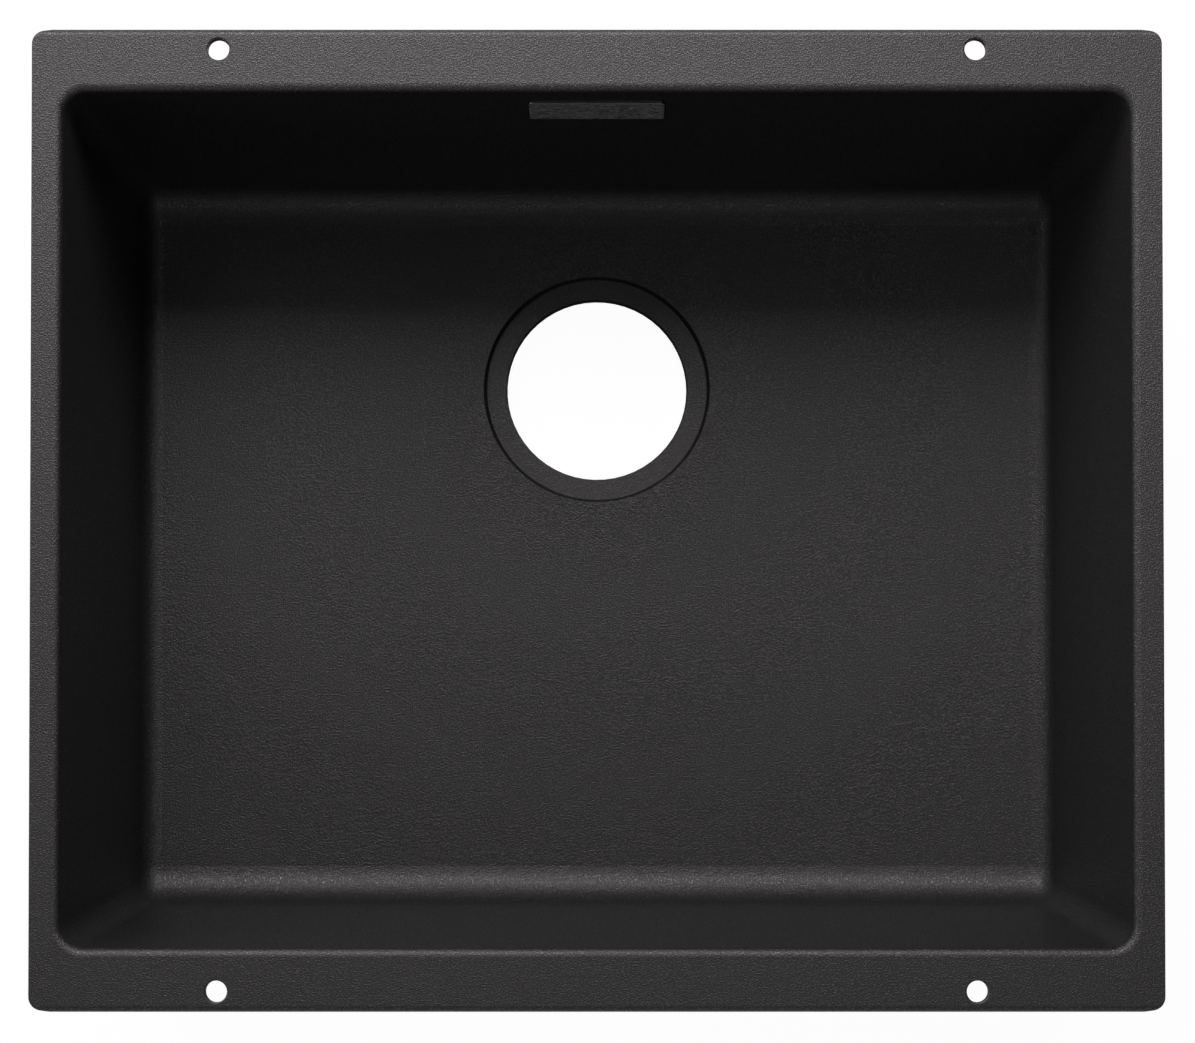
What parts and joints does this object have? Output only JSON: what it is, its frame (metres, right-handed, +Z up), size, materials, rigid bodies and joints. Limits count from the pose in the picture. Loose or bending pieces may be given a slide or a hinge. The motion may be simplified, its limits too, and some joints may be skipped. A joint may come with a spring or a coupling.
{
  "type": "undermount kitchen sink",
  "caption": "Single-bowl undermount kitchen sink moulded in dark stone composite, with a flat drilled flange, a recessed drain seat toward the back and a pull-off overflow cover.",
  "frame": {"origin": "centre of the four fixing holes, on the flange's top face, which meets the worktop's underside", "axes": "+Z up out of the bowl, square to the flange; +Y to the back, where the drain and overflow are; +X to the right"},
  "size_m": [0.53, 0.46, 0.2065],
  "materials": {
    "composite": "fine matt grain, faintly silky",
    "steel": "brushed lengthways",
    "spring_steel": "bright",
    "plastic": "moulded black",
    "rubber": "matt black",
    "brass": "turned"
  },
  "bodies": {
    "sink": {"bowl": "composite", "overflow_carrier": "plastic", "carrier_seal": "rubber", "wall_gasket": "rubber", "overflow_head": "plastic", "screw_inserts": "brass", "overflow_screws": "spring_steel"},
    "cover": {"overflow_cover": "steel", "cover_clips": "spring_steel"}
  },
  "joints": [
    {"name": "cover_pull", "type": "slide", "parent": "sink", "child": "cover", "axis": [0, -0.9871, 0.1599], "range_m": [0, 0.035]}
  ]
}
